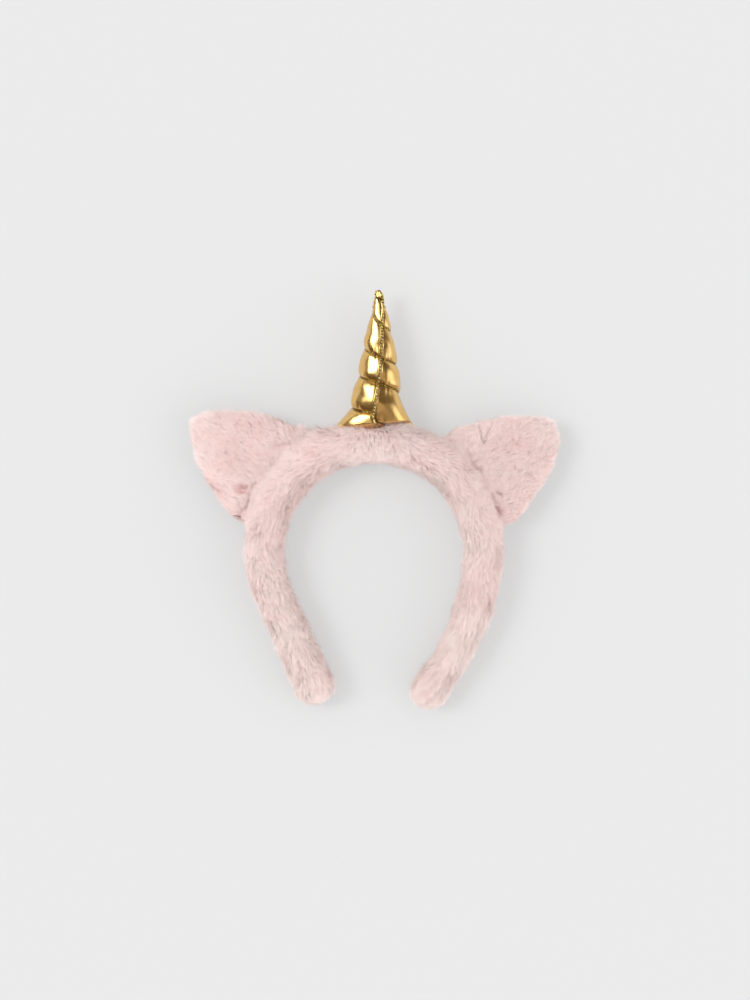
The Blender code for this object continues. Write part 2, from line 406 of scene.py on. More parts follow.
@dataclass(frozen=True)
class GoldThread:
    """The sewing thread, duller than the foil: olive along the spiral, and brighter up the front."""

    name: str = "olive_thread"
    light: tuple = (0.52, 0.40, 0.08)
    deep: tuple = (0.16, 0.12, 0.02)
    shine: float = 0.1

    def material(self) -> bpy.types.Material:
        """Returns the material."""
        nodes = Nodes(self.name)
        colour = nodes.ramp(nodes.noise(900.0, 2.0), {0.42: self.deep, 0.58: self.light})
        nodes.link(colour, nodes.shader.inputs["Base Color"])
        nodes.bump(nodes.noise(5200.0, 1.0), 0.1 * MM, 0.5)
        nodes.set(Metallic=self.shine, Roughness=0.45)
        return nodes.material


# The plush


@dataclass(frozen=True)
class BandLine:
    """The band's centreline, level, from the left tip over the crown to the right tip.

    The crown is an arc round its centre. The left arm is straight, and the right one is a wider arc.
    """

    crown_centre: tuple = (-0.4 * MM, -33.2 * MM)
    crown_radius: float = 71.2 * MM
    left_turn: float = math.radians(114)
    left_arm: float = 77 * MM
    right_turn: float = math.radians(95)
    right_arm_radius: float = 150 * MM
    right_arm_turn: float = math.radians(31.5)
    right_tip: float = 23 * MM
    step: float = 1.5 * MM

    def side(self, hand: int) -> np.ndarray:
        """Walks one side from the crown's top to its tip.

        Args:
            hand: -1 for the left side, 1 for the right.

        Returns:
            Rows of the place, the direction away from the crown's top, and the way walked, minus on the left.
        """
        crown = (self.left_turn if hand < 0 else self.right_turn) * self.crown_radius
        bent = 0.0 if hand < 0 else self.right_arm_radius * self.right_arm_turn
        straight = self.left_arm if hand < 0 else self.right_tip
        place, heading, walked, rows = np.array([0.0, self.crown_radius]), 0.0, self.step / 2, []
        while walked < crown + bent + straight:
            direction = np.array([math.cos(heading), math.sin(heading)])
            place = place + direction * self.step
            rows.append((hand * place[0], place[1], hand * direction[0], direction[1], hand * walked))
            walked += self.step
            if walked < crown:
                heading -= self.step / self.crown_radius
            elif walked < crown + bent:
                heading -= self.step / self.right_arm_radius
        return np.array(rows)

    def nearest(self, spots: np.ndarray) -> tuple[np.ndarray, np.ndarray]:
        """Finds each spot's place along the band.

        Args:
            spots: One row for each spot.

        Returns:
            The direction away from the crown's top there, level, and the way walked, minus on the left.
        """
        table = np.concatenate((self.side(-1), self.side(1)))
        places = table[:, 0:2] + np.array(self.crown_centre)
        tree = KDTree(len(places))
        for index, (x, y) in enumerate(places):
            tree.insert((x, y, 0.0), index)
        tree.balance()
        found = np.array([tree.find((x, y, 0.0))[1] for x, y, _ in spots])
        return np.column_stack((table[found, 2:4], np.zeros(len(spots)))), table[found, 4]

    def outwards(self, spots: np.ndarray) -> np.ndarray:
        """Returns the level direction away from the crown's centre at each spot."""
        return unit((spots - np.array([*self.crown_centre, 0.0])) * np.array([1.0, 1.0, 0.0]))

    def radius(self, spots: np.ndarray) -> np.ndarray:
        """Returns each spot's level distance from the crown's centre."""
        return np.linalg.norm(spots[:, :2] - np.array(self.crown_centre), axis=1)


def from_run(spots: np.ndarray, start: tuple, end: tuple) -> np.ndarray:
    """Returns how each spot lies from the nearest place on a straight run, seen from above.

    Args:
        spots: The spots.
        start: Where the run starts, in millimetres.
        end: Where it ends.

    Returns:
        Level vectors from the run to the spots.
    """
    start, end = np.array(start) * MM, np.array(end) * MM
    run = end - start
    share = np.clip(((spots[:, :2] - start) @ run) / (run @ run), 0, 1)
    return spots[:, :2] - (start + share[:, None] * run)


@dataclass(frozen=True)
class Parting:
    """A place where the pile is parted or pressed in, with painted shade in its colour there. In millimetres."""

    path: tuple[tuple[float, float], ...]
    width: float
    depth: float
    painted_shade: float = 0.0  # how much darker its painted shade is, besides what its depth makes it


# Each parting's depth and last number paint shade into the hairs there, besides parting them.
PARTINGS = (
    # The left ear's root, from the crease at its foot to the soft one above
    Parting(((-75, 8.5), (-79, 1.5), (-81, -5.5), (-85.5, -10), (-90, -12.8)), 1.1, 0.95),
    Parting(((-85.2, 5.9), (-83, 5.2)), 2.2, 0.9, 0.8),
    Parting(((-83.5, -12.8), (-82.5, -14.5)), 1.6, 0.6),
    Parting(((-61, 34), (-50.5, 33)), 1.8, 0.35),
    Parting(((-94.5, 28.5), (-93, 26.5)), 1.4, 0.2),
    Parting(((-107, 9), (-96, 4.5)), 3.5, 0.2, 0.25),
    # The right ear's root and the tufts over it
    Parting(((59.5, 27), (62, 21.5), (66, 16.5)), 1.5, 0.7),
    Parting(((66.5, 43), (69, 36)), 1.6, 0.28),
    Parting(((72, 42), (69.5, 34)), 1.6, 0.25),
    Parting(((73, 1.5), (75, -3), (77.5, -10)), 1.4, 0.7),
    Parting(((77.6, -6.9), (78.5, -8)), 2.2, 0.7, 0.4),
    Parting(((78, 3.5), (80, 2.8)), 1.6, 0.5, 0.2),
    Parting(((87.5, 19.5), (91, 17)), 1.4, 0.45),
    Parting(((97, 15.5), (100, 12.5)), 1.4, 0.4),
    Parting(((81.5, 31), (84.5, 29)), 1.3, 0.4),
    Parting(((88, 36), (91, 34.5)), 1.3, 0.3),
    # The crown's inner edge
    Parting(((-33.5, 17), (-44, 9), (-55, -3.5), (-59.5, -25), (-59.5, -47)), 2.6, 0.05, 0.35),
    Parting(((-22, 23), (-15, 25.5), (-10, 24.3)), 1.8, 0.45),
    Parting(((-7, 28), (1, 29.5), (10, 28.5)), 2.4, 0.12, 0.2),
    Parting(((23, 28.5), (30, 25), (36.5, 21.5)), 2.6, 0.4, 0.1),
    Parting(((35, 12.5), (43, 9.5)), 1.8, 0.6),
    Parting(((46, 3), (51, -4), (53, -10)), 3.0, 0.08, 0.3),
    # The arms and tips
    Parting(((-71.2, -44.4), (-73.2, -62.4)), 1.3, 0.14),
    Parting(((-64.7, -73.6), (-64.7, -83)), 1.3, 0.05),
    Parting(((-56.9, -89.2), (-56.9, -95.3)), 1.6, 0.25),
    Parting(((-56.9, -101.8), (-49.4, -101.8), (-47.8, -106.4)), 1.5, 0.25),
    Parting(((-54.3, -106.4), (-53, -113), (-50.7, -120.7)), 1.5, 0.1),
    Parting(((-47.2, -106.4), (-48, -114), (-50.7, -120.7)), 1.5, 0.28),
    Parting(((-40.7, -110.9), (-32.2, -110.9), (-28.3, -115.3)), 1.5, 0.28),
    Parting(((68.5, -90), (65.5, -96), (63, -103)), 1.6, 0.5),
    Parting(((34.5, -123.5), (36.5, -125.5)), 3.0, 0.5),
    Parting(((45, -132), (48, -134)), 1.8, 0.4),
)


@dataclass(frozen=True)
class Fringe:
    """A line, seen from above, along which the pile is longer and stands up more.

    The path is in millimetres, and so is the width. The gain is the share by which the pile is longer.
    """

    path: tuple
    width: float
    gain: float


FRINGES = (
    # The left ear's upper edge, and the corner between it and the crown
    Fringe(((-104, 50), (-87, 51), (-70, 48), (-60, 44)), 5.0, 0.36),
    Fringe(((-45, 36.5), (-35, 40.5)), 5.5, 0.8),
)


@dataclass
class Pile:
    """How the hairs grow."""

    length: float = 7.2 * MM
    half_width: float = 0.2 * MM
    per_square_mm: float = 6.2
    thinner_below: float = 0.5  # share of the hairs kept on the side that lies on the floor
    length_spread: tuple[float, float] = (0.82, 1.08)
    width_spread: tuple[float, float] = (0.8, 1.2)
    lean: float = math.radians(57)
    lean_spread: float = math.radians(7)
    way_spread: float = math.radians(11)
    bend_lean: float = 0.62  # share of the lean that a hair has reached at its bend
    bend_place: float = 0.48  # where along a hair the bend is
    inward: float = 0.8  # how strongly the nap runs inwards at the crown's top
    on_to_ear: float = 0.9  # share of the nap that turns on to the ears at their roots
    hairs_in_tuft: int = 34
    tuft_pull: float = 0.22
    tuft_spread: float = math.radians(8)
    tuft_length_spread: tuple[float, float] = (0.9, 1.08)
    bend_pull: float = 0.35  # share of the tuft's pull that a hair's bend feels
    stray_pull: float = 0.2  # share of it that a stray hair feels
    stray_width: float = 0.55
    sway: float = math.radians(16)
    sway_size: float = 20 * MM
    roll: float = math.radians(30)
    stray_share: float = 0.25
    stray_lift: float = math.radians(29)
    unevenness: float = 0.07  # how much the pile's length changes from lump to lump
    lump_size: float = 12 * MM
    crown_blend: float = 38 * MM  # past this from the crown's top the nap runs along the band
    over_joint: float = 9 * MM  # within this of an ear the band's pile flows over on to it
    inner_edge: float = 60 * MM  # from the crown's centre, where the pile is paler
    paler_from: float = 125 * MM  # from the crown's top along the band, where the arms turn paler
    paler_over: float = 50 * MM
    fringe_lift: float = 0.35  # how much less the hairs of a full fringe lean
    by_horn: float = 4 * MM  # within this of the horn the pile stands up against it
    up_horn: float = 1.6  # how strongly the nap runs up against the horn
    horn_lift: float = 0.2  # how much less the hairs lean there
    horn_gain: float = 0.15  # how much longer they are there
    horn_cover: float = 1.0 * MM  # how deep in the horn a hair's tip may end
    clearance: float = 0.1 * MM  # between the hairs and the floor
    push_reach: float = 1.6  # of a parting's width, as the next is
    # how far a parting's painted shade reaches, of its width
    painted_shade_reach: float = 1.4
    parting_push: float = 1.4
    parting_lean: float = math.radians(14)
    parting_cut: float = 0.5  # share of their length that the hairs lose in a full parting
    root_depth: float = 0.5 * MM  # how far a hair starts in the skin


@dataclass(frozen=True)
class PileShades:
    """What makes a hair paler, from 0, the deepest, to 1, the palest."""

    middle: float = 0.54
    patch: float = 0.06
    patch_size: float = 30 * MM
    tuft: float = 0.05
    hair: float = 0.05
    # painted shade in the partings, by their depth
    parting: float = -0.25
    # painted shade in the hollows and along the crown's shaded inner edge
    painted_shade: float = -0.45
    ear: float = -0.06
    inner_edge: float = 0.10
    inner_edge_width: float = 6 * MM
    arm: float = 0.14
    limits: tuple[float, float] = (0.03, 0.97)


class PlushCoat:
    """The plush of the band and both ears: a knitted skin under it, in three pieces, and the pile on them."""

    nodes = ("band", "ear_left", "ear_right")
    voxel = 1.5 * MM
    overlap = 0.9 * MM
    pile_height = 3.9 * MM
    ear_starts = 82.5 * MM  # from the crown's centre
    ear_margin = 2 * MM  # round the frame's ears
    underside = -0.6  # a normal that is lower than this points at the floor
    most_hairs_in_piece = 63_000

    def __init__(self, pile: Pile, seed: int) -> None:
        """Keeps what the coat is made from.

        Args:
            pile: How the hairs grow.
            seed: Which hairs to draw.
        """
        self.pile = pile
        self.shades = PileShades()
        self.seed = seed
        self.chance = np.random.default_rng(seed)
        self.line = BandLine()

    def skin(self) -> bpy.types.Object:
        """Makes the skin in one closed form that runs on over the joints, set in by the height of the pile."""
        deselect_all()
        for node in self.nodes:
            bpy.data.objects[node].select_set(True)
        bpy.context.view_layer.objects.active = bpy.data.objects["band"]
        bpy.ops.object.duplicate()
        copies = list(bpy.context.selected_objects)
        for copy in copies:
            choose(copy)
            bpy.ops.object.mode_set(mode="EDIT")
            bpy.ops.mesh.select_all(action="SELECT")
            bpy.ops.mesh.remove_doubles(threshold=1e-5)
            bpy.ops.object.mode_set(mode="OBJECT")
            grown = copy.modifiers.new("over_joints", "DISPLACE")
            grown.mid_level = 0.0
            grown.strength = self.overlap
            apply_modifiers(copy)
        for copy in copies:
            copy.select_set(True)
        bpy.context.view_layer.objects.active = copies[0]
        bpy.ops.object.join()
        piece = bpy.context.object
        piece.name = "skin"
        remesh = piece.modifiers.new("even", "REMESH")
        remesh.mode = "VOXEL"
        remesh.voxel_size = self.voxel
        smooth = piece.modifiers.new("soft", "SMOOTH")
        smooth.factor = 0.5
        smooth.iterations = 14
        inset = piece.modifiers.new("under_pile", "DISPLACE")
        inset.mid_level = 0.0
        inset.strength = -(self.pile_height + self.overlap)
        settle = piece.modifiers.new("settle", "SMOOTH")
        settle.factor = 0.5
        settle.iterations = 4
        apply_modifiers(piece)
        bpy.ops.object.shade_smooth()
        return piece

    def owners(self, spots: np.ndarray) -> np.ndarray:
        """Returns which node each spot belongs to, as its place in the list of nodes."""
        owner = np.zeros(len(spots), dtype=int)
        beyond = self.line.radius(spots) > self.ear_starts
        for index, node in enumerate(self.nodes[1:], start=1):
            low, high = (np.array(corner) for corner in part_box(node))
            within = np.all((spots > low - self.ear_margin) & (spots < high + self.ear_margin), axis=1)
            owner[beyond & within] = index
        return owner

    def backings(self, skin: bpy.types.Object, finish: bpy.types.Material) -> list[bpy.types.Object]:
        """Cuts the skin into one closed piece for each node.

        Args:
            skin: The whole skin.
            finish: The pieces' material.

        Returns:
            The pieces in the order of the nodes.
        """
        skin.data.materials.clear()
        skin.data.materials.append(finish)
        centres = np.empty(len(skin.data.polygons) * 3)
        skin.data.polygons.foreach_get("center", centres)
        owners = self.owners(centres.reshape(-1, 3))
        pieces = []
        for index, node in enumerate(self.nodes):
            choose(skin)
            bpy.ops.object.duplicate()
            piece = bpy.context.object
            piece.name = f"{node}_backing"
            bpy.ops.object.mode_set(mode="EDIT")
            bpy.ops.mesh.select_all(action="DESELECT")
            bpy.ops.object.mode_set(mode="OBJECT")
            piece.data.polygons.foreach_set("select", owners != index)
            bpy.ops.object.mode_set(mode="EDIT")
            bpy.ops.mesh.select_mode(type="FACE")
            bpy.ops.mesh.delete(type="FACE")
            bpy.ops.mesh.select_all(action="SELECT")
            bpy.ops.mesh.fill_holes(sides=0)
            bpy.ops.mesh.select_all(action="SELECT")
            bpy.ops.mesh.normals_make_consistent(inside=False)
            bpy.ops.object.mode_set(mode="OBJECT")
            pieces.append(piece)
        return pieces

    def roots(self, skin: bpy.types.Object) -> tuple[np.ndarray, np.ndarray]:
        """Draws where the hairs grow.

        Args:
            skin: The skin that they grow on.

        Returns:
            Places and outward normals, one row for each hair.
        """
        mesh = skin.data
        mesh.calc_loop_triangles()
        count = len(mesh.loop_triangles)
        corners = np.empty(count * 3, dtype=np.int64)
        mesh.loop_triangles.foreach_get("vertices", corners)
        corners = corners.reshape(-1, 3)
        places = points_of(skin)
        normals = np.empty(len(places) * 3)
        mesh.vertices.foreach_get("normal", normals)
        normals = normals.reshape(-1, 3)
        first, second, third = (places[corners[:, i]] for i in range(3))
        faces_out = np.cross(second - first, third - first)
        areas = np.linalg.norm(faces_out, axis=1) / 2
        below = unit(faces_out)[:, 2] < self.underside
        areas[below] *= self.pile.thinner_below
        wanted = int(areas.sum() / (MM * MM) * self.pile.per_square_mm)
        ends = np.cumsum(areas)
        draws = (np.arange(wanted) + self.chance.random(wanted)) / wanted * ends[-1]
        chosen = np.minimum(np.searchsorted(ends, draws), count - 1)
        u, v = self.chance.random((2, wanted, 1))
        over = (u + v) > 1
        u, v = np.where(over, 1 - u, u), np.where(over, 1 - v, v)
        picked = corners[chosen]
        shares = ((picked[:, 0], 1 - u - v), (picked[:, 1], u), (picked[:, 2], v))
        spots = sum(places[corner] * share for corner, share in shares)
        out = sum(normals[corner] * share for corner, share in shares)
        return spots, unit(out)

    def brushed(self, spots: np.ndarray, out: np.ndarray, near: np.ndarray, near_horn: np.ndarray) -> np.ndarray:
        """Works out which way the nap lies at each root.

        It runs inwards at the crown's top but up against the horn, along the band away from there, over on
        to the ears, and straight out along them.

        Args:
            spots: The roots.
            out: The outward normals.
            near: How close each root is to an ear, from 0 to 1.
            near_horn: How close each root is to the horn, from 0 to 1.

        Returns:
            Unit directions square to the normals.
        """
        along, walked = self.line.nearest(spots)
        outwards = self.line.outwards(spots)
        owner = self.owners(spots)
        past_top = soft_share(np.abs(walked) / self.pile.crown_blend)
        past_top, near = past_top[:, None], near[:, None]
        way = along * past_top - outwards * (1 - past_top) * self.pile.inward
        near = near * self.pile.on_to_ear
        way = way * (1 - near) + outwards * near
        way = way + outwards * self.pile.up_horn * near_horn[:, None]
        way[owner > 0] = outwards[owner > 0]
        way = unit(way - dot(way, out) * out + 1e-6)
        swayed = SoftNoise(self.pile.sway_size, self.seed + 1).at(spots) * self.pile.sway
        return turned(way, out, swayed)

    def fringed(self, spots: np.ndarray) -> np.ndarray:
        """Returns the share by which the pile is longer at each root."""
        gain = np.zeros(len(spots))
        for fringe in FRINGES:
            for start, end in zip(fringe.path, fringe.path[1:]):
                distance = np.linalg.norm(from_run(spots, start, end), axis=1)
                gain = np.maximum(gain, fringe.gain * bell(distance, fringe.width * MM))
        return gain

    def parted(self, spots: np.ndarray, out: np.ndarray) -> tuple[np.ndarray, np.ndarray, np.ndarray]:
        """Finds how deep the pile is parted at each root, how much painted shade it gets, and which way it is
        pushed there.

        Args:
            spots: The roots.
            out: The outward normals.

        Returns:
            Depths and painted shade from 0 to 1, and pushes away from the partings.
        """
        depth, painted_shade = np.zeros(len(spots)), np.zeros(len(spots))
        push = np.zeros((len(spots), 3))
        seen = np.clip(out[:, 2] * 1.5 + 0.5, 0, 1)
        for parting in PARTINGS:
            width = parting.width * MM
            for start, end in zip(parting.path, parting.path[1:]):
                apart = from_run(spots, start, end)
                distance = np.linalg.norm(apart, axis=1)
                core = bell(distance, width) * seen
                depth = np.maximum(depth, parting.depth * core)
                run_painted_shade = parting.painted_shade * bell(distance, self.pile.painted_shade_reach * width) * seen
                painted_shade = np.maximum(painted_shade, run_painted_shade)
                pushed = parting.depth * bell(distance, self.pile.push_reach * width) * seen
                push[:, :2] += unit(apart) * pushed[:, None]
        return depth, painted_shade, push

    def hairs(self, skin: bpy.types.Object, horn: BVHTree, ears: list[BVHTree]) -> HairSet:
        """Draws all the hairs.

        Args:
            skin: The skin that they grow on.
            horn: The stuffed horn, which the hairs stay out of.
            ears: The frame's ears.

        Returns:
            The hairs.
        """
        pile, chance = self.pile, self.chance
        spots, out = self.roots(skin)
        near_ear = bell(np.min([distances(tree, spots) for tree in ears], axis=0), pile.over_joint)
        near_horn = bell(distances(horn, spots), pile.by_horn) * np.clip(out[:, 2] * 2, 0, 1)
        fuller = self.fringed(spots)
        way = self.brushed(spots, out, near_ear, near_horn)
        depth, painted_shade, push = self.parted(spots, out)
        push = push * pile.parting_push
        way = unit(way + push - dot(push, out) * out)

        tufts = chance.choice(len(spots), len(spots) // pile.hairs_in_tuft, replace=False)
        tree = KDTree(len(tufts))
        for index, tuft in enumerate(tufts):
            tree.insert(spots[tuft], index)
        tree.balance()
        tuft_of = np.array([tree.find(spot)[1] for spot in spots])
        tuft_way = turned(way[tufts], out[tufts], chance.normal(0, pile.tuft_spread, len(tufts)))
        tuft_lean = pile.lean + chance.normal(0, pile.tuft_spread * 0.5, len(tufts))
        tuft_length = pile.length * chance.uniform(*pile.tuft_length_spread, len(tufts))
        tuft_lean *= 1 - pile.horn_lift * near_horn[tufts]
        tuft_tip = spots[tufts] + leaned(out[tufts], tuft_way, tuft_lean) * tuft_length[:, None]

        stray = chance.random(len(spots)) < pile.stray_share
        own_way = turned(way, out, chance.normal(0, pile.way_spread, len(spots)))
        lean = pile.lean + chance.normal(0, pile.lean_spread, len(spots)) + depth * pile.parting_lean
        lean[stray] -= pile.stray_lift
        lean *= 1 - pile.horn_lift * near_horn - pile.fringe_lift * fuller
        length = pile.length * chance.uniform(*pile.length_spread, len(spots)) * (1 - pile.parting_cut * depth)
        lumps = SoftNoise(pile.lump_size, self.seed + 3).at(spots)
        length *= 1 + pile.unevenness * lumps + pile.horn_gain * near_horn + fuller
        tip = spots + leaned(out, own_way, lean) * length[:, None]
        pull = pile.tuft_pull * (1 - depth) * (1 - near_horn) * (1 - fuller)
        pull = (pull * np.where(stray, pile.stray_pull, 1.0))[:, None]
        tip = tip * (1 - pull) + tuft_tip[tuft_of] * pull
        middle = spots + leaned(out, own_way, lean * pile.bend_lean) * (pile.bend_place * length)[:, None]
        middle_pull = pile.bend_pull * pull
        middle = middle * (1 - middle_pull) + (spots + tip) / 2 * middle_pull

        keep = depth_inside(horn, tip) < pile.horn_cover
        keep &= (tip[:, 2] > pile.clearance) & (middle[:, 2] > pile.clearance)
        shade = self.shaded(spots, chance.normal(0, 1, len(tufts))[tuft_of], depth, painted_shade)
        roll = chance.normal(0, pile.roll, len(spots))
        half_width = pile.half_width * chance.uniform(*pile.width_spread, len(spots))
        half_width *= np.where(stray, pile.stray_width, 1.0)
        hairs = (spots - out * pile.root_depth, middle, tip, out, shade, depth, roll, half_width)
        return HairSet(*(part[keep] for part in hairs))

    def shaded(self, spots: np.ndarray, tuft: np.ndarray, depth: np.ndarray, painted_shade: np.ndarray) -> np.ndarray:
        """Works out how pale each hair is.

        Args:
            spots: The roots.
            tuft: One draw for each hair, the same all over a tuft.
            depth: How deep the pile is parted there.
            painted_shade: How much painted shade it gets there.

        Returns:
            Shades from 0 to 1.
        """
        shades, pile = self.shades, self.pile
        shade = shades.middle + shades.patch * SoftNoise(shades.patch_size, self.seed + 2).at(spots)
        shade += shades.tuft * tuft + self.chance.normal(0, shades.hair, len(spots))
        # painted shade in the partings and hollows
        shade += shades.parting * depth + shades.painted_shade * painted_shade + shades.ear * (self.owners(spots) > 0)
        shade += shades.inner_edge * bell(self.line.radius(spots) - pile.inner_edge, shades.inner_edge_width)
        walked = np.abs(self.line.nearest(spots)[1])
        shade += shades.arm * soft_share((walked - pile.paler_from) / pile.paler_over)
        return np.clip(shade, *shades.limits)

    def build(self, finishes: dict[str, bpy.types.Material], horn: BVHTree) -> list[bpy.types.Object]:
        """Args:
            finishes: The materials by name.
            horn: The stuffed horn.

        Returns:
            The backings in the order of the nodes.
        """
        skin = self.skin()
        ears = [tree_of(bpy.data.objects[node]) for node in self.nodes[1:]]
        hairs = self.hairs(skin, horn, ears)
        backings = self.backings(skin, finishes["backing"])
        bpy.data.objects.remove(skin, do_unlink=True)
        owner = self.owners(hairs.root)
        _, walked = self.line.nearest(hairs.root)
        for index, (node, backing) in enumerate(zip(self.nodes, backings)):
            mine = np.flatnonzero(owner == index)
            mine = mine[np.argsort(walked[mine], kind="stable")]
            groups = math.ceil(len(mine) / self.most_hairs_in_piece)
            pieces = [backing]
            for number, chosen in enumerate(np.array_split(mine, groups), start=1):
                name = f"{node}_pile" if groups == 1 else f"{node}_pile_{number}"
                pieces.append(hairs.mesh(name, chosen, finishes["pile"]))
            for piece in pieces:
                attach(piece, BODY)
                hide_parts(node)
            log.info("%s: %d hairs in %d pieces", node, len(mine), groups)
        return backings


def turned(way: np.ndarray, axis: np.ndarray, angle: np.ndarray) -> np.ndarray:
    """Turns directions round axes that they are square to.

    Args:
        way: Unit directions.
        axis: Unit axes.
        angle: Angles in radians.

    Returns:
        The turned directions.
    """
    return unit(way * np.cos(angle)[:, None] + np.cross(axis, way) * np.sin(angle)[:, None])


def leaned(out: np.ndarray, way: np.ndarray, lean: np.ndarray) -> np.ndarray:
    """Returns the directions that lean from the normals by these angles, the given way."""
    return out * np.cos(lean)[:, None] + way * np.sin(lean)[:, None]


@dataclass
class HairSet:
    """Hairs as rows: each a flat blade from its root over a bend to its tip."""

    bend_width = 0.85  # share of the root's width
    out_share = 0.75  # how much of the shading follows the skin and not the blade
    map_width = 0.004  # from a hair's middle to its side on the map
    map_root, map_bend, map_tip = 0.02, 0.5, 0.97
    lower_in_parting = 0.6  # how far a hair in a full parting stays in the root's darker colour, which is painted shade

    root: np.ndarray
    middle: np.ndarray
    tip: np.ndarray
    out: np.ndarray
    shade: np.ndarray
    depth: np.ndarray
    roll: np.ndarray
    half_width: np.ndarray

    def mesh(self, name: str, chosen: np.ndarray, finish: bpy.types.Material) -> bpy.types.Object:
        """Joins some of the hairs into one mesh.

        Args:
            name: The piece's name.
            chosen: Which hairs.
            finish: Its material.

        Returns:
            The piece.
        """
        root, middle, tip, out = (part[chosen] for part in (self.root, self.middle, self.tip, self.out))
        direction = unit(tip - root)
        across = turned(unit(np.cross(direction, out)), direction, self.roll[chosen])
        half = self.half_width[chosen][:, None]
        middle_half = half * self.bend_width
        wide, narrow = across * half, across * middle_half
        corners = np.stack((root - wide, root + wide, middle - narrow, middle + narrow, tip), axis=1)
        count = len(chosen)
        blade = np.array([[0, 1, 3], [0, 3, 2], [2, 3, 4]])
        faces = (np.arange(count)[:, None, None] * 5 + blade).reshape(-1, 3)
        mesh = bpy.data.meshes.new(name)
        mesh.vertices.add(count * 5)
        mesh.vertices.foreach_set("co", corners.astype(np.float32).ravel())
        mesh.loops.add(faces.size)
        mesh.loops.foreach_set("vertex_index", faces.astype(np.int32).ravel())
        mesh.polygons.add(len(faces))
        mesh.polygons.foreach_set("loop_start", np.arange(0, faces.size, 3, dtype=np.int32))
        mesh.update(calc_edges=True)
        mesh.shade_smooth()
        blade_out = unit(out - direction * dot(direction, out))
        normals = unit(self.out_share * out + (1 - self.out_share) * blade_out)
        mesh.normals_split_custom_set_from_vertices(np.repeat(normals, 5, axis=0))
        sides = np.array([-1.0, 1.0, -self.bend_width, self.bend_width, 0.0]) * self.map_width
        heights = np.array([self.map_root] * 2 + [self.map_bend] * 2 + [self.map_tip])
        places = np.empty((count, 5, 2))
        places[:, :, 0] = self.shade[chosen][:, None] + sides
        places[:, :, 1] = heights * (1 - self.lower_in_parting * self.depth[chosen])[:, None]
        layer = mesh.uv_layers.new(name=HAIR_MAP)
        layer.data.foreach_set("uv", places.reshape(-1, 2)[faces.ravel()].astype(np.float32).ravel())
        mesh.materials.append(finish)
        piece = bpy.data.objects.new(name, mesh)
        bpy.context.scene.collection.objects.link(piece)
        return piece


# The horn


@dataclass(frozen=True)
class HornRow:
    """The horn at one height: how far its middle is off the origin's line, and its half sizes."""

    height: float
    offset: float
    half_width: float
    half_depth: float


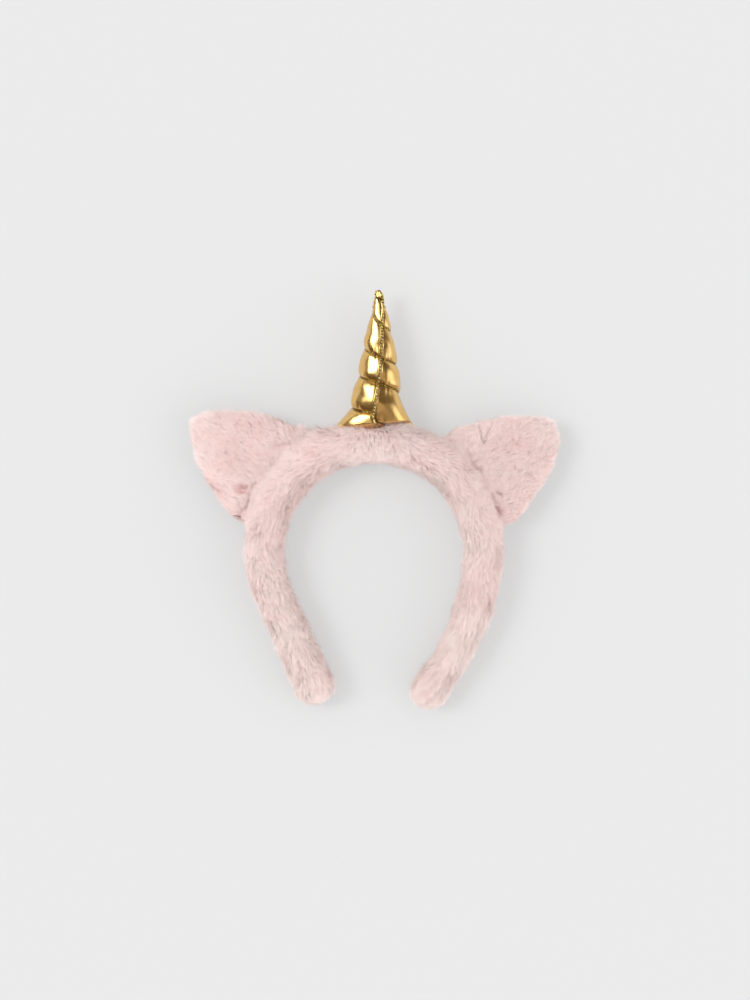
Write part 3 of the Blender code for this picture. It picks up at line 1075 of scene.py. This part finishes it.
@dataclass
class GoldHorn:
    """The stuffed horn, drawn in by a sewn spiral and by one seam up its front."""

    foot: tuple = (-1.0 * MM, 47.0 * MM, 16.4 * MM)
    rows: tuple[HornRow, ...] = tuple(
        HornRow(*(MM * value for value in row))
        for row in (
            (-10.0, 1.6, 24.4, 13.0),
            (0.0, 2.0, 26.6, 15.2),
            (5.9, 1.5, 21.6, 15.6),
            (11.1, 2.2, 18.4, 15.4),
            (18.9, 2.4, 16.5, 14.8),
            (28.6, 3.1, 14.8, 13.8),
            (40.3, 3.8, 12.6, 12.0),
            (50.1, 3.8, 10.8, 10.4),
            (57.9, 3.9, 9.4, 9.0),
            (66.3, 3.9, 7.5, 7.3),
            (75.0, 4.4, 5.2, 5.1),
            (79.5, 4.0, 3.6, 3.6),
            (84.0, 3.8, 3.1, 3.1),
            (87.4, 3.6, 2.5, 2.5),
            (89.3, 3.5, 0.8, 0.8),
        )
    )
    # The spiral's heights in millimetres, turn by turn from the tip down: at the left, on both sides of the
    # front seam, and at the right. The strips don't quite meet at the front seam.
    turns: tuple[tuple[float, float, float, float], ...] = (
        (96.0, 94.5, 93.5, 92.0),
        (84.5, 81.6, 80.8, 77.6),
        (74.3, 65.8, 64.6, 60.6),
        (51.2, 44.9, 43.4, 40.0),
        (33.8, 28.4, 27.3, 21.7),
        (13.3, 8.4, 2.4, -4.0),
        (-6.0, -12.0, -16.0, -22.0),
    )
    turn_stations: tuple[float, ...] = (-0.25, -0.012, 0.012, 0.25)  # shares of a turn from the front
    # How far the front seam wanders to the right of the horn's middle, by height, both in millimetres
    front_heights: tuple[float, ...] = (0.5, 6, 16, 27, 50, 66, 78, 88)
    front_offsets: tuple[float, ...] = (0.9, -1.5, -0.8, 0.5, 1.4, 1.7, 2.2, 1.0)
    draw: float = 0.2  # how far the seams draw the horn in, by its size there
    sides: int = 168
    rings: int = 240
    sewn_turns: tuple[float, float] = (0.9, 5.0)  # of the spiral, down to the front seam
    edge_heights: tuple[float, float] = (77 * MM, 88 * MM)  # the tip is also sewn along both its edges
    edge_angle: float = math.radians(62)
    stitch_pitch: float = 1.75 * MM
    stitch_length: float = 1.4 * MM
    stitch_radius: float = 0.44 * MM
    stitch_lift: float = 0.35 * MM
    stitch_slant: float = math.radians(28)  # to and fro along the spiral
    cord_slant: float = math.radians(36)  # all one way up the front
    cord_pitch: float = 2.1 * MM
    cord_painted_shade: float = 1.0 * MM  # how far the painted shade under the cord reaches to each side
    cord_heights: tuple[float, float] = (-1 * MM, 86 * MM)
    # how dark the painted shade under the cord is
    cord_shade_darkness: float = 0.8
    belly: float = 0.12  # how much lower than its middle a puff is widest
    puff_flatness: float = 2.2
    puff_fullness: float = 0.55
    tuck_height: float = 0.6 * MM  # where the front goes in under the pile, at the horn's middle
    tuck_rise: float = 0.10  # how much higher that is for each length to the right
    tuck_depth: float = 9 * MM
    tuck_length: float = 3.0 * MM
    hole_height: float = 82.6 * MM  # of the small dimple in the tip
    hole_depth: float = 0.8 * MM
    hole_half_height: float = 1.1 * MM
    hole_half_width: float = 0.7 * MM
    seam_dip: float = 0.35 * MM
    seam_width: float = 0.6 * MM
    cord_rise: float = 0.8 * MM
    cord_width: float = 0.42 * MM
    beside_cord: float = 1.0 * MM  # where the foil dips on both sides of the cord
    beside_cord_dip: float = 0.2 * MM
    beside_cord_width: float = 0.4 * MM
    spiral_gathers: float = 2.6 * MM  # how far the creases reach from the spiral
    front_gathers: float = 2.2 * MM
    crest: float = 0.055  # how far the front seam stands out, by the horn's size there
    crest_width: float = 0.42
    flatness: float = 2.4  # of the section: 2 is round
    dent_depth: float = 0.28 * MM
    gather_depth: float = 0.16 * MM
    crease_length: float = 5.0  # of a gathered crease, for its width
    fine_below: float = 8 * MM  # a horn thinner than this on each side has a finer relief
    front_crowding: float = 0.45  # how much closer together the mesh's columns are at the front
    dents: SoftNoise = field(default_factory=lambda: SoftNoise(13 * MM, 71))
    gathers: SoftNoise = field(default_factory=lambda: SoftNoise(3.4 * MM, 73))

    def row_at(self, height: np.ndarray, column: str) -> np.ndarray:
        """Returns one column of the rows at these heights, with the corners between rows rounded off."""
        heights = [row.height for row in self.rows]
        values = [getattr(row, column) for row in self.rows]
        reach = np.minimum(3 * MM, np.maximum(self.rows[-1].height - height, 0.0))
        shifts = np.linspace(-1, 1, 7)
        return np.mean([np.interp(height + reach * shift, heights, values) for shift in shifts], axis=0)

    def spiral(self, turn: np.ndarray) -> np.ndarray:
        """Returns the spiral's height after this many turns: a whole number is the front."""
        stations, heights = [], []
        for index, turn_heights in enumerate(self.turns):
            stations += [index + station for station in self.turn_stations]
            heights += [height * MM for height in turn_heights]
        return np.interp(turn, stations, heights)

    def front_seam(self, height: np.ndarray) -> np.ndarray:
        """Returns how far the front seam wanders sideways from the horn's middle."""
        return np.interp(height, np.array(self.front_heights) * MM, np.array(self.front_offsets) * MM)

    def front_angle(self, height: np.ndarray) -> np.ndarray:
        """Returns the angle round the horn at which the front seam lies."""
        wide = np.maximum(self.row_at(height, "half_width"), MM)
        return np.arcsin(np.clip(self.front_seam(height) / wide, -0.8, 0.8))

    def to_seams(self, height: np.ndarray, angle: np.ndarray) -> tuple[np.ndarray, np.ndarray, np.ndarray]:
        """Finds the seams round each place.

        Args:
            height: Heights above the foot.
            angle: Angles round the horn.

        Returns:
            The angle from the front seam, and the heights of the spiral above and below.
        """
        from_front = (angle - self.front_angle(height) + math.pi) % (2 * math.pi) - math.pi
        seams = np.stack([self.spiral(turn + from_front / (2 * math.pi)) for turn in range(len(self.turns))])
        above = np.min(np.where(seams >= height, seams, np.inf), axis=0)
        below = np.max(np.where(seams < height, seams, -np.inf), axis=0)
        above = np.where(np.isfinite(above), above, height + 10 * MM)
        below = np.where(np.isfinite(below), below, height - 10 * MM)
        return from_front, above, below

    def hole_at(self, height: np.ndarray, angle: np.ndarray) -> np.ndarray:
        """Returns how close each place is to the small dimple in the tip, from 0 to 1."""
        across = angle * self.row_at(height, "half_width")
        return bell(height - self.hole_height, self.hole_half_height) * bell(across, self.hole_half_width)

    def sewn(self, height: np.ndarray, angle: np.ndarray) -> np.ndarray:
        """Returns how dark the foil is at each place, from 0 to 1: the seams' own dark line with painted shade
        in their grooves, painted shade under the front cord, and painted shade in the tip's dimple.
        """
        from_front, above, below = self.to_seams(height, angle)
        size = self.row_at(height, "half_width")
        spiral = bell(np.minimum(above - height, height - below), self.seam_width)
        front = bell(from_front * size, self.cord_painted_shade)
        # the seams' own dark line, with painted shade in their grooves, under the cord and in the dimple
        dark = np.maximum(np.maximum(spiral, self.cord_shade_darkness * front), self.hole_at(height, angle))
        return np.clip(dark, 0, 1)

    def surface(self, height: np.ndarray, angle: np.ndarray) -> np.ndarray:
        """Returns the horn's surface.

        Args:
            height: Heights above the foot.
            angle: Angles round the horn: 0 is the front, plus is to the right.

        Returns:
            One place for each pair.
        """
        wide = self.row_at(height, "half_width")
        deep = self.row_at(height, "half_depth")
        size = (wide + deep) / 2
        from_front, above, below = self.to_seams(height, angle)
        across = 2 * (height - below) / np.maximum(above - below, 1e-6) - 1
        across = across + self.belly * (1 - across * across)
        puff = np.maximum(0.0, 1 - np.abs(across) ** self.puff_flatness) ** self.puff_fullness
        to_seam = np.minimum(above - height, height - below)
        seam_off = from_front * size
        to_front = np.abs(seam_off)
        drawn = 1 - self.draw * (1 - puff) + self.crest * np.exp(-to_front / (self.crest_width * size))

        rough = np.stack((size * np.sin(angle), height, size * np.cos(angle)), axis=-1)
        fine = np.minimum(1.0, size / self.fine_below)
        relief = self.dent_depth * self.dents.at(rough)
        along_seam = np.stack((angle * size, height / self.crease_length, np.zeros_like(height)), axis=-1)
        relief += self.gather_depth * self.gathers.at(along_seam) * np.exp(-to_seam / self.spiral_gathers)
        beside_seam = np.stack((seam_off / self.crease_length, height, np.zeros_like(height)), axis=-1)
        relief += self.gather_depth * self.gathers.at(beside_seam) * np.exp(-to_front / self.front_gathers)
        relief -= self.seam_dip * bell(to_seam, self.seam_width)
        relief += self.cord_rise * bell(seam_off, self.cord_width)
        relief -= self.beside_cord_dip * bell(to_front - self.beside_cord, self.beside_cord_width)
        relief -= self.hole_depth * self.hole_at(height, angle)
        relief = relief * fine
        offset = self.row_at(height, "offset")
        side, front = np.sin(angle), np.cos(angle)
        below_tuck = self.tuck_height + self.tuck_rise * wide * side + self.tuck_length / 2 - height
        tucked = soft_share(below_tuck / self.tuck_length) * self.tuck_depth
        relief = relief - tucked * np.maximum(front, 0) ** 0.5
        squared = (np.abs(side) ** self.flatness + np.abs(front) ** self.flatness) ** (-1 / self.flatness)
        foot = np.array(self.foot)
        return foot + np.stack(
            (
                offset + (wide * drawn * squared + relief) * side,
                height,
                (deep * drawn * squared + relief) * front,
            ),
            axis=-1,
        )

    def body(self, finish: bpy.types.Material) -> bpy.types.Object:
        """Models the stuffed body, with its foot still whole.

        Args:
            finish: Its material.

        Returns:
            The body.
        """
        deselect_all()
        bpy.ops.mesh.primitive_uv_sphere_add(segments=self.sides, ring_count=self.rings, radius=1.0)
        piece = bpy.context.object
        piece.name = "horn_body"
        ball = points_of(piece)
        share = np.arccos(np.clip(ball[:, 2], -1, 1)) / math.pi
        angle = np.arctan2(ball[:, 0], ball[:, 1])
        angle = angle - self.front_crowding * np.sin(angle)
        top, low = self.rows[-1].height, self.rows[0].height
        height = top + (low - top) * share
        places = self.surface(height, angle)
        poles = (share < 1e-6) | (share > 1 - 1e-6)
        ends = np.array(self.foot) + np.column_stack(
            (self.row_at(height, "offset"), height, np.zeros_like(height))
        )
        places[poles] = ends[poles]
        move_points(piece, places)
        # the seams' darkness and the painted shade, which the foil's colour reads
        seam = piece.data.attributes.new("seam", "FLOAT", "POINT")
        seam.data.foreach_set("value", self.sewn(height, angle).astype(np.float32))
        choose(piece)
        bpy.ops.object.mode_set(mode="EDIT")
        bpy.ops.mesh.select_all(action="SELECT")
        bpy.ops.mesh.normals_make_consistent(inside=False)
        bpy.ops.object.mode_set(mode="OBJECT")
        bpy.ops.object.shade_smooth()
        piece.data.materials.clear()
        piece.data.materials.append(finish)
        return piece

    def stitch_rows(self) -> list[tuple[np.ndarray, np.ndarray]]:
        """Works out the stitches.

        Returns:
            For the spiral and for the front seam, the middles and the half lengths of the stitches, as
            vectors.
        """
        turns = np.linspace(*self.sewn_turns, 4000)
        heights = self.spiral(turns)
        angles = (turns - np.round(turns)) * 2 * math.pi + self.front_angle(heights)
        middles, halves = self.evenly(self.surface(heights, angles), self.stitch_pitch)
        to_and_fro = self.stitch_slant * np.where(np.arange(len(middles)) % 2, 1, -1)
        rows = [self.laid(middles, halves, to_and_fro)]
        heights = np.linspace(*self.cord_heights, 1200)
        angles = self.front_angle(heights)
        middles, halves = self.evenly(self.surface(heights, angles), self.cord_pitch)
        heights = np.linspace(*self.edge_heights, 300)
        for hand in (-1, 1):
            path = self.surface(heights, np.full(300, hand * self.edge_angle))
            edge = self.evenly(path, self.stitch_pitch)
            middles, halves = np.concatenate((middles, edge[0])), np.concatenate((halves, edge[1]))
        rows.append(self.laid(middles, halves, np.full(len(middles), self.cord_slant)))
        return rows

    def laid(self, middles: np.ndarray, halves: np.ndarray, slant: np.ndarray) -> tuple[np.ndarray, np.ndarray]:
        """Lifts stitches just over the surface and slants them.

        Args:
            middles: Of the stitches.
            halves: Their half lengths as vectors.
            slant: The angle of each across its row.

        Returns:
            Middles and half lengths as vectors.
        """
        foot = np.array(self.foot)
        height = middles[:, 1] - foot[1]
        axis = foot + np.column_stack((self.row_at(height, "offset"), height, np.zeros_like(height)))
        out = unit(middles - axis)
        length = np.linalg.norm(halves, axis=1, keepdims=True)
        return middles + out * self.stitch_lift, turned(unit(halves), out, slant) * length

    def evenly(self, path: np.ndarray, pitch: float) -> tuple[np.ndarray, np.ndarray]:
        """Spaces stitches evenly along a path of points.

        Args:
            path: The points.
            pitch: From one stitch to the next.

        Returns:
            Middles and half lengths as vectors.
        """
        steps = np.linalg.norm(np.diff(path, axis=0), axis=1)
        walked = np.concatenate(([0.0], np.cumsum(steps)))
        middles = np.arange(pitch / 2, walked[-1], pitch)
        at = [np.interp(middles, walked, path[:, axis]) for axis in range(3)]
        ahead = [np.interp(middles + self.stitch_length / 2, walked, path[:, axis]) for axis in range(3)]
        behind = [np.interp(middles - self.stitch_length / 2, walked, path[:, axis]) for axis in range(3)]
        return np.stack(at, axis=1), (np.stack(ahead, axis=1) - np.stack(behind, axis=1)) / 2

    def stitches(self, name: str, row: tuple, finish: bpy.types.Material) -> bpy.types.Object:
        """Lays one row of stitches, each a small rounded length of thread.

        Args:
            name: The piece's name.
            row: Middles and half lengths of the stitches.
            finish: Its material.

        Returns:
            The row as one mesh.
        """
        middles, halves = row
        deselect_all()
        bpy.ops.mesh.primitive_uv_sphere_add(segments=8, ring_count=6, radius=1.0)
        pattern = bpy.context.object
        ball = points_of(pattern)
        ball[:, 2] = np.sign(ball[:, 2]) * np.abs(ball[:, 2]) ** 0.7
        faces = [tuple(face.vertices) for face in pattern.data.polygons]
        bpy.data.objects.remove(pattern, do_unlink=True)
        aside = (0.31, 0.2, 0.93)  # a direction that no stitch runs along
        places, joined = [], []
        for middle, half in zip(middles, halves):
            length = np.linalg.norm(half)
            along = half / length
            side = unit(np.cross(along, aside))
            up = np.cross(side, along)
            start = len(places) * len(ball)
            across = np.outer(ball[:, 0], side) + np.outer(ball[:, 1], up)
            places.append(middle + across * self.stitch_radius + np.outer(ball[:, 2], along) * length)
            joined += [tuple(start + corner for corner in face) for face in faces]
        mesh = bpy.data.meshes.new(name)
        mesh.from_pydata(np.concatenate(places).tolist(), [], joined)
        mesh.shade_smooth()
        mesh.materials.append(finish)
        piece = bpy.data.objects.new(name, mesh)
        bpy.context.scene.collection.objects.link(piece)
        return piece

    def build(self, body: bpy.types.Object, band: bpy.types.Object, finishes: dict) -> None:
        """Cuts the horn's foot to the band, sews it, and attaches its pieces to the body.

        Args:
            body: The stuffed body.
            band: The band's backing, which the foot sits on.
            finishes: The materials by name.
        """
        cut = body.modifiers.new("seat", "BOOLEAN")
        cut.operation = "DIFFERENCE"
        cut.solver = "EXACT"
        cut.object = band
        apply_modifiers(body)
        spiral, front = self.stitch_rows()
        pieces = [
            body,
            self.stitches("horn_spiral_stitches", spiral, finishes["thread"]),
            self.stitches("horn_front_stitches", front, finishes["cord"]),
        ]
        for piece in pieces:
            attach(piece, BODY)
        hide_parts("horn")
        log.info("horn: %d faces, %d stitches", len(body.data.polygons), len(spiral[0]) + len(front[0]))


# The studio


@dataclass(frozen=True)
class Sun:
    """A soft lamp that shines from far off: where it stands, its power, and how wide it looks in degrees."""

    name: str
    towards: tuple
    strength: float
    spread: float

    def hang(self) -> None:
        """Hangs the lamp, which the foil doesn't mirror."""
        lamp = bpy.data.lights.new(self.name, "SUN")
        lamp.energy = self.strength
        lamp.angle = math.radians(self.spread)
        holder = bpy.data.objects.new(self.name, lamp)
        holder.rotation_euler = Vector(self.towards).to_track_quat("Z", "Y").to_euler()
        holder.visible_glossy = False
        bpy.context.scene.collection.objects.link(holder)


@dataclass(frozen=True)
class Softbox:
    """A bright spot that the foil mirrors: its direction, and its core and faded rim in degrees."""

    towards: tuple
    brightness: float
    core: float
    rim: float


class Sky:
    """The world: even light all round, while what shines mirrors softboxes over pale walls."""

    def __init__(self) -> None:
        """Makes an empty world."""
        world = bpy.data.worlds.new("studio")
        bpy.context.scene.world = world
        world.use_nodes = True
        self.tree = world.node_tree
        self.tree.nodes.clear()
        self.place = self.add("ShaderNodeTexCoord").outputs["Generated"]
        split = self.add("ShaderNodeSeparateXYZ")
        self.tree.links.new(self.place, split.inputs[0])
        self.height = split.outputs["Z"]

    def add(self, kind: str, *inputs: object, **settings: object) -> bpy.types.Node:
        """Adds a node.

        Args:
            kind: Its kind.
            inputs: A number, colour or socket for each of its first inputs in order, or None to leave one.
            settings: Its settings.

        Returns:
            The node.
        """
        node = self.tree.nodes.new(kind)
        for name, value in settings.items():
            setattr(node, name, value)
        for socket, given in zip(node.inputs, inputs):
            if isinstance(given, bpy.types.NodeSocket):
                self.tree.links.new(given, socket)
            elif given is not None:
                socket.default_value = given
        return node

    def shade(self, value: bpy.types.NodeSocket, low: tuple[float, float], high: tuple[float, float]) -> object:
        """Returns the socket of a smooth ramp over a value, from one (place, grey) to another."""
        ends = (low[0], high[0], low[1], high[1])
        return self.add("ShaderNodeMapRange", value, *ends, interpolation_type="SMOOTHSTEP").outputs[0]

    def softbox(self, box: Softbox) -> bpy.types.NodeSocket:
        """Returns the socket of a softbox's brightness."""
        towards = Vector(box.towards).normalized()
        aim = self.add("ShaderNodeVectorMath", self.place, towards, operation="DOT_PRODUCT")
        rim, core = (math.cos(math.radians(angle)) for angle in (box.rim, box.core))
        return self.shade(aim.outputs["Value"], (rim, 0.0), (core, box.brightness))

    def light(self, even: object, mirrored: object, colour: object) -> None:
        """Lights the world from three sockets.

        Args:
            even: The brightness that lights things.
            mirrored: The brightness that shows in what shines.
            colour: The colour that shows there.
        """
        glossy = self.add("ShaderNodeLightPath").outputs["Is Glossy Ray"]
        brightness = self.add("ShaderNodeMix", glossy, None, even, mirrored)
        white = (1.0, 1.0, 1.0, 1.0)
        tint = self.add("ShaderNodeMix", glossy, *[None] * 5, white, colour, data_type="RGBA")
        background = self.add("ShaderNodeBackground", tint.outputs[2], brightness.outputs[0])
        self.add("ShaderNodeOutputWorld", background.outputs[0])


@dataclass
class Studio:
    """A pale table that is also lit from below, soft light from the left, and the camera straight above."""

    floor_size: float = 40.0
    floor_colour: tuple = (0.257, 0.257, 0.257)
    floor_glow: float = 0.41
    camera_height: float = 1.5
    object_middle: float = 16 * MM
    picture_centre: tuple = (0.3 * MM, -0.4 * MM)
    picture_height: float = 0.65  # of the floor's plane that the picture's long side spans
    film: float = 36.0
    low_light: float = 1.57
    high_light: float = 0.99
    # The grey that the foil mirrors, by height: the walls low down, and the ceiling
    wall: tuple[float, float] = (0.08, 0.45)
    ceiling: tuple[float, float] = (0.32, 0.12)
    # How its colour follows its brightness: warm in the dark parts, over the walls to cool in the bright ones
    dark_end: tuple[float, float] = (0.08, 0.0)
    bright_end: tuple[float, float] = (2.5, 1.0)
    mirrored_colours: tuple = ((0.0, (1.0, 0.76, 0.52)), (0.06, (1.0, 0.86, 0.80)), (0.6, (0.86, 0.93, 1.0)))
    softboxes: tuple[Softbox, ...] = (
        Softbox((-0.45, 0.54, 0.71), 7.5, 11, 26),
        Softbox((0.90, 0.05, 0.43), 1.7, 9, 28),
        Softbox((0.50, -0.62, 0.60), 0.45, 10, 36),
        Softbox((0.18, 0.08, 0.98), 0.50, 8, 24),
    )
    suns: tuple[Sun, ...] = (
        Sun("key", (-0.62, 0.12, 0.77), 1.50, 26.0),
        Sun("fill", (0.75, -0.35, 0.35), 0.90, 55.0),
    )

    def floor(self) -> None:
        """Lays the floor."""
        deselect_all()
        bpy.ops.mesh.primitive_plane_add(size=self.floor_size, location=(0.0, 0.0, 0.0))
        piece = bpy.context.object
        piece.name = "floor"
        nodes = Nodes("floor")
        nodes.shader.inputs["Base Color"].default_value = (*self.floor_colour, 1.0)
        nodes.shader.inputs["Emission Color"].default_value = (1.0, 1.0, 1.0, 1.0)
        nodes.set(Roughness=0.9, Specular_IOR_Level=0.1, Emission_Strength=self.floor_glow)
        piece.data.materials.append(nodes.material)

    def sky(self) -> None:
        """Lights the scene from all round."""
        sky = Sky()
        mirrored = sky.shade(sky.height, self.wall, self.ceiling)
        for box in self.softboxes:
            mirrored = sky.add("ShaderNodeMath", mirrored, sky.softbox(box)).outputs[0]
        ramp = sky.add("ShaderNodeValToRGB", sky.shade(mirrored, self.dark_end, self.bright_end))
        ramp.color_ramp.elements.new(0.5)
        for element, (at, colour) in zip(ramp.color_ramp.elements, self.mirrored_colours):
            element.position, element.color = at, (*colour, 1.0)
        even = sky.shade(sky.height, (0.0, self.low_light), (1.0, self.high_light))
        sky.light(even, mirrored, ramp.outputs["Color"])

    def camera(self) -> None:
        """Sets the camera straight above, as the photograph was taken."""
        data = bpy.data.cameras.new("camera")
        data.sensor_fit = "VERTICAL"
        data.sensor_height = self.film
        data.lens = self.film * self.camera_height / self.picture_height
        holder = bpy.data.objects.new("camera", data)
        holder.location = (*self.picture_centre, self.camera_height + self.object_middle)
        bpy.context.scene.collection.objects.link(holder)
        bpy.context.scene.camera = holder

    def build(self) -> None:
        """Sets up the studio."""
        self.floor()
        self.sky()
        for sun in self.suns:
            sun.hang()
        self.camera()
        bpy.context.scene.view_settings.view_transform = "Standard"


def main() -> None:
    """Builds the headband's pieces and the studio, in order."""
    logging.basicConfig(level=logging.INFO, format="%(message)s")
    finishes = {
        "pile": PlushPile().material(),
        "backing": PlushBacking().material(),
        "foil": GoldFoilCloth().material(),
        "thread": GoldThread().material(),
        "cord": GoldThread("bright_thread", (0.90, 0.70, 0.24), (0.11, 0.07, 0.01), 0.35).material(),
    }
    horn = GoldHorn()
    body = horn.body(finishes["foil"])
    band = PlushCoat(Pile(), seed=11).build(finishes, tree_of(body))[0]
    horn.build(body, band, finishes)
    Studio().build()


if __name__ == "__main__":
    main()
